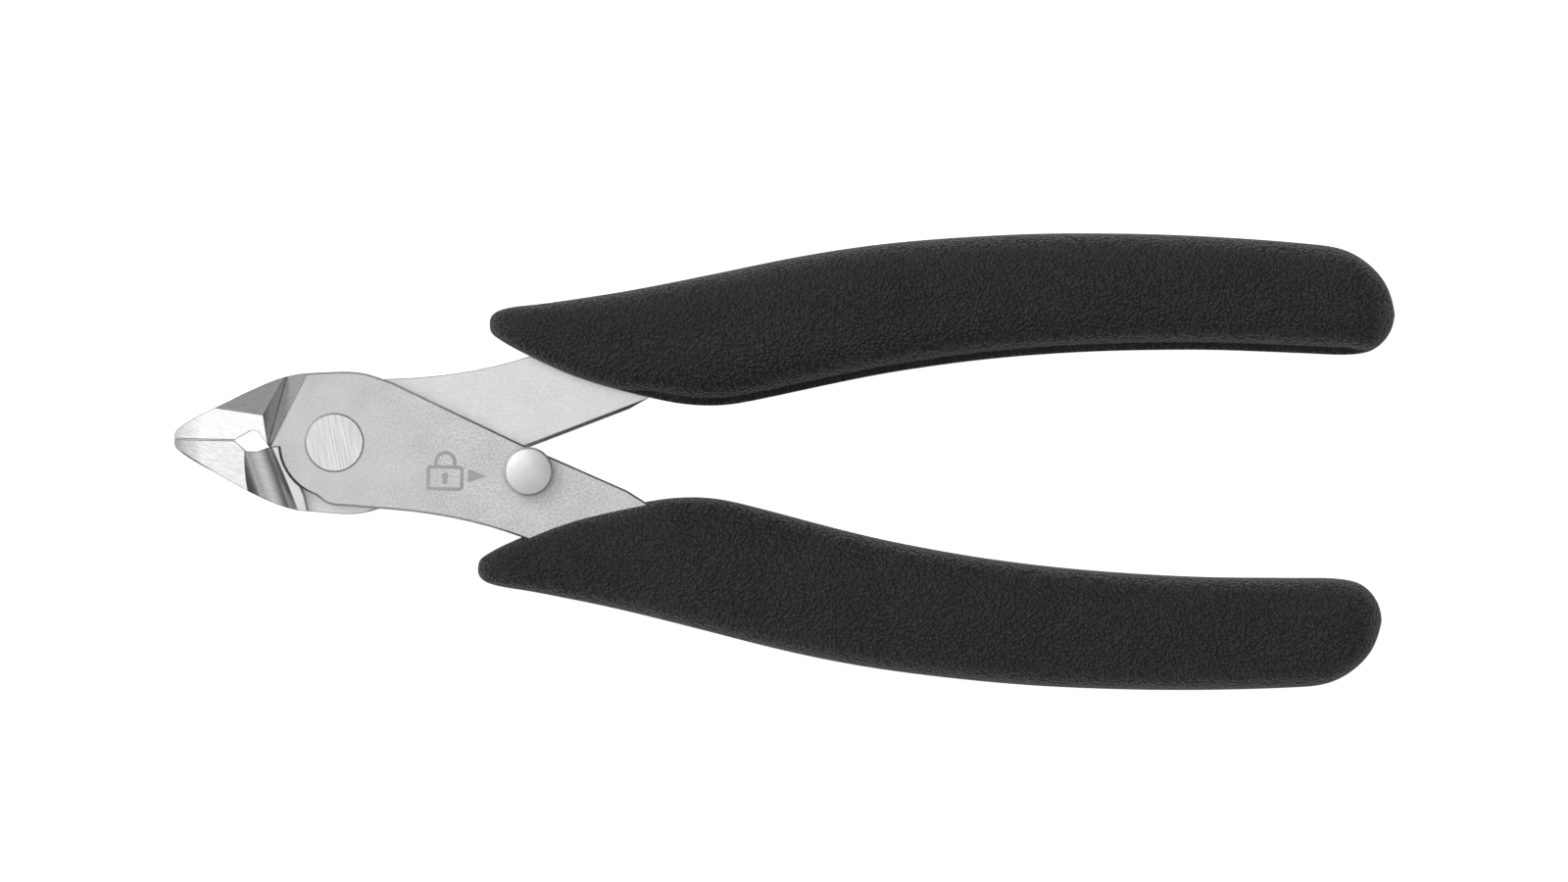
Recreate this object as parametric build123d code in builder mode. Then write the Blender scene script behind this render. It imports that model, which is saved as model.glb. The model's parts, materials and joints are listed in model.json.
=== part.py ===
from build123d import *
import os
from math import cos, radians, sin, tan

# A flush cutter: two forged steel halves that lap on each other and turn on a rivet, a hidden wire
# spring that opens them, a push lock that keeps them shut, and a moulded grip on each tang.
# Lengths are in millimetres. Every outline is drawn from the rivet's axis: x runs from the jaw tips,
# at minus, to the grips, at plus. The front half carries the lock, the upper jaw and the lower grip.

# Overall sizes
tool_length = 125.0  # jaw tips to grip ends, closed
tip_reach = 16.5  # rivet axis to jaw tips
plate_thickness = 2.8  # one half, so a head of twice this
grip_thickness = 10.6
past = 20.0  # how far a cutting solid reaches past what it cuts

# Lap joint
lap_gap = 0.03  # between the two lapped faces
joint_radius = 5.7  # round of each head that the other half's shoulder slides on
shoulder_clearance = 0.05
root_angle = 185.2  # where the shoulder's arc ends, at the relief hole
ridge_angle = 233.1  # where it ends at the other side
round_end_angle = 248.0  # where the head's own round runs into the tang's outer side
edge_gap = 0.04  # between the closed cutting edges
edge_end = -8.6  # x where the cutting edges end, in the relief hole
neck_radius = 7.4  # from the rivet's axis to where a jaw's inner side turns to the head
rivet_diameter = 5.4
rivet_head_diameter = 6.0
rivet_flare_depth = 0.7
rivet_proud = 0.12
rivet_running = 0.03  # radial clearance in the rear half

# Jaws
jaw_taper = 11.0  # degrees, of the flush face and of the back
tip_half_thickness = 0.45
tip_half_width = 0.4
tip_corner_length = 0.3
tip_corner_width = 1.06  # half the closed jaws' width behind the tip's round corners
bevel_angle = 34.0  # degrees from upright, behind the cutting edge
bevel_start = 0.1  # height of the small land under the edge
bevel_end = -8.7
head_wall_angle = 57.0  # degrees, steep side of the head above the jaw
head_edge = [(-6.55, -0.6), (-3.04, 6.83)]  # where that side meets the head's shown face
slope_angle = 30.0  # outward slope beside the flush face
slope_edge = [(-12.2, 3.22), (-7.85, 2.68)]
valley_angle = 42.0  # slope from the flush face down towards the head
valley_edge = [(-7.3, 1.95), (-6.85, -0.56)]
flute_radius = 2.4
flute_axis = [(-8.11, -1.9, 3.98), (-6.02, -7.42, 3.07)]
relief_points = [(-10.3, 0), (-8.6, 1.05), (-7.9, 0.98), (-6.69, -0.61), (-7.96, -1.12), (-9.1, -1.1)]
relief_corner = 0.3  # radius
edge_break = 0.16
edge_break_from = 5.0  # shorter edges of the shown face are left sharp
lap_edge_break = 0.34

# Return spring, a wire torsion spring in a pocket around the rivet
spring_wire = 0.65
spring_coil_radius = 4.1
spring_leg = 7.6
spring_leg_angle = 10.0  # degrees that each leg leans from the tool's length
spring_pocket_radius = 4.75
spring_pocket_depth = 0.85
spring_slot_width = 0.95
spring_slot_spare = 0.4  # slot's length past the leg's end

# Push lock
lock_x = 20.0
lock_y = -2.48
lock_travel = 1.3
lock_cap_diameter = 5.0
lock_cap_height = 0.9
lock_cap_dome = 0.25
lock_cap_break = 0.2
lock_cap_socket = 0.6
lock_stem_diameter = 1.6
lock_plug_diameter = 2.4
lock_plug_length = 1.6
lock_plug_inset = 0.1  # plug's end above the lap plane when released
lock_running = 0.05  # radial clearance of stem and plug
lock_catch_clearance = 0.1  # radial, in the rear half's eye
lock_eye_radius = 2.4
lock_lug_root = [(15.6, 2.0), (19.4, 0.25)]  # where the eye's lug leaves the tang
lock_neck = 0.3  # web between the plug's bore and the spring's seat
lock_spring_wire = 0.2
lock_spring_radius = 1.4
lock_spring_turns = 3.0
lock_spring_seat_radius = 1.75
lock_spring_play = 0.02

# Grips
grip_nose = 15.55
grip_shift = 0.6  # the lower grip sits this much nearer to the jaws
grip_step = 0.6  # how far one moulded half stands out past the other
grip_parting = -0.3  # height of the step from the lap plane
outline_kink = 0.5  # degrees at each join, so that the joined curves stay separate edges
tang_end_share = 0.87
tang_end_width = 4.0
tang_end_middle = -17.9

half_grip = grip_thickness / 2
grip_end = tool_length - tip_reach
middle_x = (grip_end - tip_reach) / 2
half_gap = lap_gap / 2

# The frame's origin is under the tool's middle, where the grips rest.
pivot = Vector(-middle_x, 0, half_grip)
front = Plane(origin=pivot, x_dir=(1, 0, 0), z_dir=(0, 0, 1))
back = Plane(origin=pivot, x_dir=(1, 0, 0), z_dir=(0, 0, -1))


def polar(radius, angle):
    """Point at a radius and an angle, in degrees, from the rivet's axis."""
    return (radius * cos(radians(angle)), radius * sin(radians(angle)))


def station(share):
    """x of a share of the grip's length, counted from its nose."""
    return grip_nose + share * (grip_end - grip_nose)


def along_grip(shares, shift=0.0):
    """Outline points from shares of the grip's length and their y."""
    return [(station(share) - shift, y) for share, y in shares]


def jaw_side(sign):
    """Outer side of a jaw, from the tip's corner to the head, on one side of the edge."""
    points = [(-12.0, 3.5), (-8.0, 5.56), (-5.0, 6.73), (-1.0, 7.22)]
    return [tip_corner(sign)[1]] + [(x, sign * y) for x, y in points]


def tip_corner(sign):
    """Ends of the tip's rounded corner."""
    return [(-tip_reach, sign * tip_half_width), (-tip_reach + tip_corner_length, sign * tip_corner_width)]


# Whole outline of one half in its own layer: jaw, head and tang.
tang_bends = [(5.7, 6.35), (18.9, 0.4), (30.1, -4.2)]
tang_inner = along_grip([(0.22, -7.4), (0.328, -10.1), (0.457, -13.0), (0.607, -15.0), (0.758, -15.7)])
tang_outer = along_grip([(0.736, -20.2), (0.586, -19.7), (0.435, -18.3), (0.306, -16.2), (0.199, -14.0)])
tang_outer += [(26.0, -11.6), (19.5, -9.25), (14.0, -7.75), (8.0, -6.87), (2.8, -6.56)]
tang_end_x = station(tang_end_share)
tang_end = [(tang_end_x, tang_end_middle + sign * tang_end_width / 2) for sign in (1, -1)]
arc_start = polar(joint_radius, round_end_angle)
with BuildSketch() as half_outline:
    with BuildLine():
        root = polar(joint_radius, root_angle)
        neck = polar(neck_radius, root_angle)
        Polyline(root, neck, (edge_end, edge_gap / 2), (-tip_reach, edge_gap / 2), tip_corner(1)[0])
        corner = TangentArc(*tip_corner(1), tangent=(0, 1))
        Spline(*jaw_side(1), (2.8, 7.2), tang_bends[0], tangents=[corner % 1, (0.95, -0.3)])
        Polyline(*tang_bends)
        Spline(tang_bends[-1], *tang_inner, tang_end[0], tangents=[(0.85, -0.52), (1, -0.15)])
        ThreePointArc(tang_end[0], (tang_end_x + tang_end_width / 2, tang_end_middle), tang_end[1])
        Spline(tang_end[1], *tang_outer, tangents=[(-1, -0.15), (-1, 0.05)])
        ThreePointArc(arc_start, polar(joint_radius, (round_end_angle + root_angle) / 2), root)
        Spline(tang_outer[-1], (0.5, -6.45), (-0.83, -6.12), arc_start, tangents=[(-1, 0.2), (-0.97, 0.26)])
    make_face()

# The jaw's outline in the other half's layer, seen from that layer's side, with the shoulder.
shoulder_radius = joint_radius + shoulder_clearance
ridge_foot = (-2.62, -7.1)
neck_lean = 0.4  # degrees, so that the two necks stay clear of each other
with BuildSketch() as shoulder_outline:
    with BuildLine():
        arc_ends = [polar(shoulder_radius, root_angle), polar(shoulder_radius, ridge_angle)]
        ThreePointArc(arc_ends[0], polar(shoulder_radius, (root_angle + ridge_angle) / 2), arc_ends[1])
        Polyline(arc_ends[1], (-3.05, -5.45), ridge_foot)
        Spline(*jaw_side(-1)[:-1], ridge_foot)
        TangentArc(*tip_corner(-1), tangent=(0, -1))
        Polyline(tip_corner(-1)[0], (-tip_reach, -edge_gap / 2), (edge_end, -edge_gap / 2))
        Polyline((edge_end, -edge_gap / 2), polar(neck_radius, root_angle + neck_lean), arc_ends[0])
    make_face()

# Relief hole behind the cutting edges.
with BuildSketch() as relief_outline:
    with BuildLine():
        Polyline(*relief_points, close=True)
    make_face()
    fillet(relief_outline.vertices().group_by(Axis.X)[1:-1], relief_corner)


def flush_height(x):
    """Height of the flush face above the lap plane at x."""
    return tip_half_thickness + (x + tip_reach) * tan(radians(jaw_taper))


def plane_through(side, *points):
    """Plane through three points given from a side, facing the way that side faces."""
    a, b, c = [side.from_local_coords(point) for point in points]
    normal = (b - a).cross(c - a)
    if normal.dot(side.z_dir) < 0:
        normal = normal * -1
    return Plane(origin=a, z_dir=normal)


def taper_plane(side):
    """Face that tapers a jaw towards its tip: the flush face at the front."""
    ends = [(-tip_reach, y, tip_half_thickness) for y in (-1, 1)]
    return plane_through(side, *ends, (0, 0, flush_height(0)))


def head_height(x):
    """Height of the head's shown face above the lap plane, the same at every x."""
    return plate_thickness


def falling_plane(side, height, edge, angle):
    """Plane that holds an edge of a face and falls away from it, to the edge's left, by an angle."""
    start, end = [Vector(*point) for point in edge]
    aside = start + (end - start).normalized().rotate(Axis.Z, 90)
    on_face = [(point.X, point.Y, height(point.X)) for point in (start, end)]
    return plane_through(side, *on_face, (aside.X, aside.Y, height(aside.X) - tan(radians(angle))))


def forge_pad(side):
    """Solid that the dies leave of a jaw's outer side: the flush face with a slope on two sides."""
    with BuildPart() as pad:
        with BuildSketch(side.offset(half_gap)):
            Rectangle(tip_reach, past, align=(Align.MAX, Align.CENTER))
        extrude(amount=plate_thickness)
        split(bisect_by=taper_plane(side), keep=Keep.BOTTOM)
        split(bisect_by=falling_plane(side, flush_height, slope_edge, slope_angle), keep=Keep.BOTTOM)
        split(bisect_by=falling_plane(side, flush_height, valley_edge, valley_angle), keep=Keep.BOTTOM)
    return pad.part


def forge_shoulder(side):
    """Jaw's part in the other half's layer, with the flute and the taper ground into it."""
    flute_start, flute_end = [Vector(*point) for point in flute_axis]
    along = flute_end - flute_start
    start = side.from_local_coords(flute_start)
    with BuildPart() as taper:
        with BuildSketch(side):
            before = flute_start - along
            after = flute_end + along
            ahead = -tip_reach - past
            inner = [(before.X, before.Y), (after.X, after.Y)]
            outer = [(ahead, after.Y), (ahead, before.Y)]
            Polygon(*inner, *outer, align=None)
        extrude(amount=past, both=True)
        split(bisect_by=taper_plane(side), keep=Keep.TOP)
    with BuildPart() as shoulder:
        with BuildSketch(side.offset(-half_gap)):
            add(shoulder_outline.sketch)
        extrude(amount=plate_thickness + half_gap)
        add(taper.part, mode=Mode.SUBTRACT)
        with BuildSketch(Plane(origin=start, z_dir=side.from_local_coords(flute_end) - start)):
            Circle(flute_radius)
        extrude(amount=past, both=True, mode=Mode.SUBTRACT)
    return shoulder.part


def forge_jaw(side):
    """Jaw's part in its own layer: the pad cut to the jaw's outline."""
    with BuildPart() as jaw:
        with BuildSketch(side.offset(half_gap)):
            add(half_outline.sketch)
        extrude(amount=plate_thickness)
        add(forge_pad(side), mode=Mode.INTERSECT)
    return jaw.part


def leg_plane(side, height):
    """Plane at a height over a side, at the start of the spring's leg and turned along it."""
    start = polar(spring_coil_radius, -90 - spring_leg_angle)
    turned = Plane(side.from_local_coords((*start, height)), side.x_dir, side.z_dir)
    return turned.rotated((0, 0, -spring_leg_angle))


def forge_half(side, other):
    """One steel half with its bore, spring pocket and relief; `side` is the face it shows."""
    jaw = forge_jaw(side)
    shoulder = forge_shoulder(other)
    with BuildPart() as half:
        with BuildSketch(side.offset(half_gap)):
            add(half_outline.sketch)
        extrude(amount=plate_thickness - half_gap)
        outward = Axis(side.origin, side.z_dir)
        shown_edges = half.faces().sort_by(outward)[-1].edges()
        chamfer(shown_edges.filter_by(lambda edge: edge.length > edge_break_from), edge_break)
        bends = [Vector(*bend) for bend in tang_bends]
        middles = [(bends[i] + bends[i + 1]) / 2 for i in (0, 1)]
        inner_edges = [side.from_local_coords((middle.X, middle.Y, half_gap)) for middle in middles]
        chamfer([half.edges().sort_by_distance(point)[0] for point in inner_edges], lap_edge_break)
        split(bisect_by=falling_plane(side, head_height, head_edge, head_wall_angle), keep=Keep.BOTTOM)
        add(jaw)
        add(shoulder)
        with BuildSketch(side):
            add(relief_outline.sketch if side is front else mirror(relief_outline.sketch, Plane.XZ))
        extrude(amount=past, both=True, mode=Mode.SUBTRACT)
        with BuildSketch(side.offset(half_gap)):
            Circle(spring_pocket_radius)
        extrude(amount=spring_pocket_depth - half_gap, mode=Mode.SUBTRACT)
        with BuildSketch(leg_plane(side, half_gap)):
            Rectangle(spring_leg + spring_slot_spare, spring_slot_width, align=(Align.MIN, Align.CENTER))
        extrude(amount=spring_pocket_depth - half_gap, mode=Mode.SUBTRACT)
    return half.part


def rivet_bore(side, clearance):
    """Bore of one half, flared at the shown face, as a solid to take away."""
    flare = (rivet_head_diameter - rivet_diameter) / 2
    with BuildPart() as bore:
        with BuildSketch(side):
            Circle(rivet_diameter / 2 + clearance)
        extrude(amount=past)
        with BuildSketch(side.offset(plate_thickness - rivet_flare_depth)):
            Circle(rivet_diameter / 2 + clearance)
        with BuildSketch(side.offset(plate_thickness)):
            Circle(rivet_diameter / 2 + flare + clearance)
        loft()
    return bore.part


def cutting_bevels():
    """The wedge behind the cutting edges that both bevels are ground to."""
    height = 8.0
    lead = 1.0
    taper = radians(jaw_taper)
    tip = front.from_local_coords((-tip_reach - lead, 0, flush_height(-tip_reach - lead) - bevel_start))
    half_width = height * tan(radians(bevel_angle))
    with BuildPart() as wedge:
        with BuildSketch(Plane(origin=tip, x_dir=(0, 1, 0), z_dir=(cos(taper), 0, sin(taper)))):
            Polygon((0, 0), (-half_width, -height), (half_width, -height), align=None)
        extrude(amount=(bevel_end + tip_reach + lead) / cos(taper))
    return wedge.part


# Heights of the push lock's steps above the lap plane, released.
plug_top = lock_plug_inset + lock_plug_length
plug_bore_top = plug_top + lock_running
spring_seat = plug_bore_top + lock_neck
cap_bottom = plate_thickness + lock_travel + lock_spring_play

# Front half: upper jaw and lower tang, with the stepped bore of the lock.
forged_front = forge_half(front, back)
front_bore = rivet_bore(front, 0)
bevels = cutting_bevels()
lock_place = front.from_local_coords((lock_x, lock_y, 0))
lock = Plane(origin=lock_place, x_dir=front.x_dir, z_dir=front.z_dir)
with BuildPart() as front_plate:
    add(forged_front)
    add(front_bore, mode=Mode.SUBTRACT)
    add(bevels, mode=Mode.SUBTRACT)
    with BuildSketch(lock):
        Circle(lock_plug_diameter / 2 + lock_running)
    extrude(amount=plug_bore_top, mode=Mode.SUBTRACT)
    with BuildSketch(lock):
        Circle(lock_stem_diameter / 2 + lock_running)
    extrude(amount=plate_thickness, mode=Mode.SUBTRACT)
    with BuildSketch(lock.offset(spring_seat)):
        Circle(lock_spring_seat_radius)
    extrude(amount=plate_thickness, mode=Mode.SUBTRACT)
front_plate.part.label = "front_plate"

# Rear half: lower jaw and upper tang, with the eye that the lock's pin enters.
forged_rear = forge_half(back, front)
rear_bore = rivet_bore(back, rivet_running)
with BuildPart() as rear_plate:
    add(forged_rear)
    with BuildSketch(back.offset(half_gap)):
        with Locations((lock_x, -lock_y)):
            Circle(lock_eye_radius)
        Polygon(*lock_lug_root, (lock_x, -lock_y), align=None)
        make_hull()
    extrude(amount=plate_thickness - half_gap)
    add(rear_bore, mode=Mode.SUBTRACT)
    add(bevels, mode=Mode.SUBTRACT)
    with BuildSketch(back):
        with Locations((lock_x, -lock_y)):
            Circle(lock_plug_diameter / 2 + lock_catch_clearance)
    extrude(amount=plate_thickness, mode=Mode.SUBTRACT)
rear_plate.part.label = "rear_plate"

# Rivet: a shank flared into both bores and faced a little proud.
with BuildPart() as pivot_rivet:
    with BuildSketch(Plane(origin=pivot, x_dir=(1, 0, 0), z_dir=(0, -1, 0))) as rivet_profile:
        shank = rivet_diameter / 2
        head = rivet_head_diameter / 2
        with BuildLine():
            Polyline(
                (0, -plate_thickness - rivet_proud),
                (head - rivet_proud, -plate_thickness - rivet_proud),
                (head, -plate_thickness),
                (shank, -plate_thickness + rivet_flare_depth),
                (shank, plate_thickness - rivet_flare_depth),
                (head, plate_thickness),
                (head - rivet_proud, plate_thickness + rivet_proud),
                (0, plate_thickness + rivet_proud),
                close=True,
            )
        make_face()
    revolve(axis=Axis(pivot, (0, 0, 1)))
pivot_rivet.part.label = "pivot_rivet"

# Return spring: a wire coil in the pockets between the halves, with one leg in each of them.
coil_rise = spring_pocket_depth - spring_wire / 2 - lap_gap
coil_turns = 1.5 - spring_leg_angle / 180
coil_start = leg_plane(back, coil_rise).origin
coil_outward = Vector(coil_start.X - pivot.X, coil_start.Y - pivot.Y, 0)
coil_plane = Plane(origin=pivot - (0, 0, coil_rise), x_dir=coil_outward, z_dir=(0, 0, 1))
coil_height = 2 * coil_rise
coil = coil_plane.location * Helix(coil_height / coil_turns, coil_height, spring_coil_radius)
with BuildPart() as return_spring:
    with BuildSketch(Plane(origin=coil @ 0, z_dir=coil % 0)):
        Circle(spring_wire / 2)
    sweep(path=coil, is_frenet=True)
    for side in (front, back):
        leg = leg_plane(side, coil_rise)
        with BuildSketch(Plane(origin=leg.origin, z_dir=leg.x_dir)):
            Circle(spring_wire / 2)
        extrude(amount=spring_leg)
return_spring.part.label = "return_spring"

# Push button of the lock, with a socket for its pin.
lock_section = Plane(origin=lock_place, x_dir=(1, 0, 0), z_dir=(0, -1, 0))
lock_axis = Axis(lock_place, (0, 0, 1))
with BuildPart() as lock_button:
    with BuildSketch(lock_section):
        with BuildLine():
            rim = lock_cap_diameter / 2
            cap_top = cap_bottom + lock_cap_height
            stem = lock_stem_diameter / 2
            socket = cap_bottom + lock_cap_socket
            Polyline(
                (rim, cap_top - lock_cap_break),
                (rim, cap_bottom),
                (stem, cap_bottom),
                (stem, socket),
                (0, socket),
                (0, cap_top + lock_cap_dome),
            )
            # A shallow dome keeps three quarters of its rise at half its radius.
            dome_middle = (rim / 2, cap_top + lock_cap_dome * 0.75)
            ThreePointArc((0, cap_top + lock_cap_dome), dome_middle, (rim - lock_cap_break, cap_top))
            Line((rim - lock_cap_break, cap_top), (rim, cap_top - lock_cap_break))
        make_face()
    revolve(axis=lock_axis)
lock_button.part.label = "lock_button"

# Stepped pin of the lock, whose plug bears up against the front half's web.
with BuildPart() as lock_pin:
    with BuildSketch(lock.offset(lock_plug_inset)):
        Circle(lock_plug_diameter / 2)
    extrude(amount=lock_plug_length)
    with BuildSketch(lock.offset(plug_top)):
        Circle(lock_stem_diameter / 2)
    extrude(amount=cap_bottom + lock_cap_socket - plug_top)
    chamfer(lock_pin.faces().sort_by(Axis.Z)[0].edges(), edge_break)
lock_pin.part.label = "lock_pin"

# Coil spring under the button.
lock_coil_low = spring_seat + lock_spring_wire / 2 + lock_spring_play
lock_coil_height = cap_bottom - lock_spring_wire / 2 - lock_spring_play - lock_coil_low
lock_pitch = lock_coil_height / lock_spring_turns
lock_coil = lock.offset(lock_coil_low).location * Helix(lock_pitch, lock_coil_height, lock_spring_radius)
with BuildPart() as lock_spring:
    with BuildSketch(Plane(origin=lock_coil @ 0, z_dir=lock_coil % 0)):
        Circle(lock_spring_wire / 2)
    sweep(path=lock_coil, is_frenet=True)
lock_spring.part.label = "lock_spring"


def grip_outline(shift, step):
    """Outline of one moulded half of a grip, with its inner edge set back by a step."""

    def onward(direction):
        return Vector(*direction).rotate(Axis.Z, outline_kink)

    nose = (grip_nose - shift, -12.6)
    palm = [(0.018, -14.2), (0.145, -16.2), (0.274, -18.85), (0.403, -21.4), (0.532, -22.75)]
    palm += [(0.661, -23.36), (0.79, -23.35), (0.919, -22.7)]
    heel = [(0.961, -21.35), (0.988, -19.0), (1.0, -15.8)]
    toe = [(0.992, -13.1), (0.966, -11.7), (0.925, -11.45)]
    straight = [(0.796, -11.75), (0.666, -11.2), (0.537, -10.0), (0.408, -7.9), (0.317, -5.9)]
    bend = [(0.279, -5.05), (0.2415, -4.65), (0.1985, -4.8), (0.15, -5.8)]
    guard = [(0.102, -7.1), (0.053, -8.9), (0.011, -10.95)]
    palm, heel, toe = [along_grip(run, shift) for run in (palm, heel, toe)]
    straight, bend, guard = [along_grip(run, shift) for run in (straight, bend, guard)]
    finger = [(x, y - step) for x, y in [toe[-1]] + straight + bend]
    turn = len(straight)
    with BuildSketch() as outline:
        with BuildLine():
            TangentArc(nose, palm[0], tangent=(0, -1))
            palm_side = Spline(*palm)
            Spline(palm[-1], *heel, tangents=[onward(palm_side % 1), (0, 1)])
            toe_round = Spline(heel[-1], *toe, tangents=[onward((0, 1)), (-1, 0)])
            finger_side = Spline(*finger[: turn + 1], tangents=[onward(toe_round % 1), (-0.95, 0.27)])
            bend_side = Spline(*finger[turn:], tangents=[onward(finger_side % 1), (-0.85, -0.52)])
            guard_side = Spline(bend[-1], *guard, tangents=[onward(bend_side % 1), (-0.75, -0.66)])
            Spline(guard[-1], nose, tangents=[onward(guard_side % 1), onward((0, -1))])
            if step > 0:
                Line(toe[-1], finger[0])
                Line(finger[-1], bend[-1])
        make_face()
    return outline.sketch


def mould_grip(side, shift):
    """One grip with the slot of its tang; its wider moulded half is on the side given."""
    with BuildPart() as grip:
        with BuildSketch(side.offset(grip_parting)):
            add(grip_outline(shift, 0))
        extrude(amount=half_grip - grip_parting)
        with BuildSketch(side.offset(-half_grip)):
            add(grip_outline(shift, grip_step))
        extrude(amount=half_grip + grip_parting)
        with BuildSketch(side.offset(half_gap)):
            add(half_outline.sketch)
        extrude(amount=plate_thickness - half_gap, mode=Mode.SUBTRACT)
    return grip.part


with BuildPart() as grip_lower:
    add(mould_grip(front, grip_shift))
grip_lower.part.label = "grip_lower"

with BuildPart() as grip_upper:
    add(mould_grip(back, 0))
grip_upper.part.label = "grip_upper"

os.makedirs("parts", exist_ok=True)
export_step(front_plate.part, "parts/front_plate.step")
export_step(rear_plate.part, "parts/rear_plate.step")
export_step(pivot_rivet.part, "parts/pivot_rivet.step")
export_step(return_spring.part, "parts/return_spring.step")
export_step(lock_button.part, "parts/lock_button.step")
export_step(lock_pin.part, "parts/lock_pin.step")
export_step(lock_spring.part, "parts/lock_spring.step")
export_step(grip_upper.part, "parts/grip_upper.step")
export_step(grip_lower.part, "parts/grip_lower.step")
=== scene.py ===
# %% [markdown]
# # A flush cutter with moulded grips
# The tool is two forged steel halves on a rivet, a push button that locks them, two small springs and
# two black grips. The steel shapes come ready from the CAD model, so the work here is their finish.
# The grips, the springs and the marks are new surfaces, each worked out as arrays of points.

# %% Load the frame
import json

import bpy
import numpy as np
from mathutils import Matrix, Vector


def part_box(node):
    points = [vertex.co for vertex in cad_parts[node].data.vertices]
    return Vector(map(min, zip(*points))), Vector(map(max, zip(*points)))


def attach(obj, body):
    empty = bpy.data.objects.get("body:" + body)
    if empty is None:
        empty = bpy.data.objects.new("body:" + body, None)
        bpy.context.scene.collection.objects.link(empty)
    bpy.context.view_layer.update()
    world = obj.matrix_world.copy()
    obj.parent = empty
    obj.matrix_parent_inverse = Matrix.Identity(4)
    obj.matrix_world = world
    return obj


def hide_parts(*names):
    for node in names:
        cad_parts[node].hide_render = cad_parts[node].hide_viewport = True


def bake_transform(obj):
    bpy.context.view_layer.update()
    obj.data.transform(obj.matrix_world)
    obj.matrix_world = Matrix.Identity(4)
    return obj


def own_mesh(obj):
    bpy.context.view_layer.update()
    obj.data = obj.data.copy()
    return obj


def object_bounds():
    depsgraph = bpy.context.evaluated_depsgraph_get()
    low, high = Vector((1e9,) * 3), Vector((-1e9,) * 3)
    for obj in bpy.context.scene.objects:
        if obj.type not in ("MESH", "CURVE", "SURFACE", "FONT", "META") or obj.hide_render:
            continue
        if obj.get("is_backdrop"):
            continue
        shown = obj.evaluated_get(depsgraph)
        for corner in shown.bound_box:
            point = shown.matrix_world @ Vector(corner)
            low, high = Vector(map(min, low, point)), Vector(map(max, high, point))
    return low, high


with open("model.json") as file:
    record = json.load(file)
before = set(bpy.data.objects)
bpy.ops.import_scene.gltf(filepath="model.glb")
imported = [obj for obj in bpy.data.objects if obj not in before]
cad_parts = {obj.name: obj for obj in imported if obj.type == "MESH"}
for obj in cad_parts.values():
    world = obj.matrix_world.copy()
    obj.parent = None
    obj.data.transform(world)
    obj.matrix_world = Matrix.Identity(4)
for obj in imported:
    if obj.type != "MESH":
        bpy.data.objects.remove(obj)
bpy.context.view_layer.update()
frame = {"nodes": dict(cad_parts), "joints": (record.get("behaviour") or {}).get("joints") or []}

MM = 0.001
joints = {joint["name"]: joint for joint in frame["joints"]}
pivot = np.array(joints["jaw_pivot"]["pos_m"])
pivot_x, pivot_y, pivot_z = (float(value) for value in pivot)


def at_pivot(points):
    """Place of points given in millimetres from the rivet's axis, at the plane where the halves lap."""
    return pivot + np.asarray(points, float) * MM


# %% [markdown]
# ## The camera
# The tool lies flat and is seen from straight above, so its outline is not foreshortened. A long
# lens far away keeps both grips the same size. The tool's axis leans a little across the view.

# %% Camera
VIEW_WIDTH = 161.1  # millimetres that the view takes in
VIEW_MIDDLE = (46.08, 1.27, 0.0)
VIEW_DISTANCE = 1.4  # metres
VIEW_LEAN = 1.36  # degrees

camera_data = bpy.data.cameras.new("view_from_above")
camera_data.sensor_width = 36.0
camera_data.lens = camera_data.sensor_width * VIEW_DISTANCE / (VIEW_WIDTH * MM)
camera_data.clip_start = 0.01
camera = bpy.data.objects.new("view_from_above", camera_data)
camera.location = at_pivot(VIEW_MIDDLE) + [0, 0, VIEW_DISTANCE]
camera.rotation_euler = (0, 0, np.radians(VIEW_LEAN))
bpy.context.scene.collection.objects.link(camera)
bpy.context.scene.camera = camera
print("lens", round(camera_data.lens, 1), "mm")

# %% [markdown]
# ## Building a skin from rings
# Every new piece is one closed skin. It is a stack of rings of points, a grid with one number along
# the piece and one around it. Neighbouring rings are joined by four-sided faces. The ends are closed
# by a fan to one point, or the last ring is joined to the first. One helper so serves grips, wires
# and marks.

# %% Skin from rings


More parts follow.
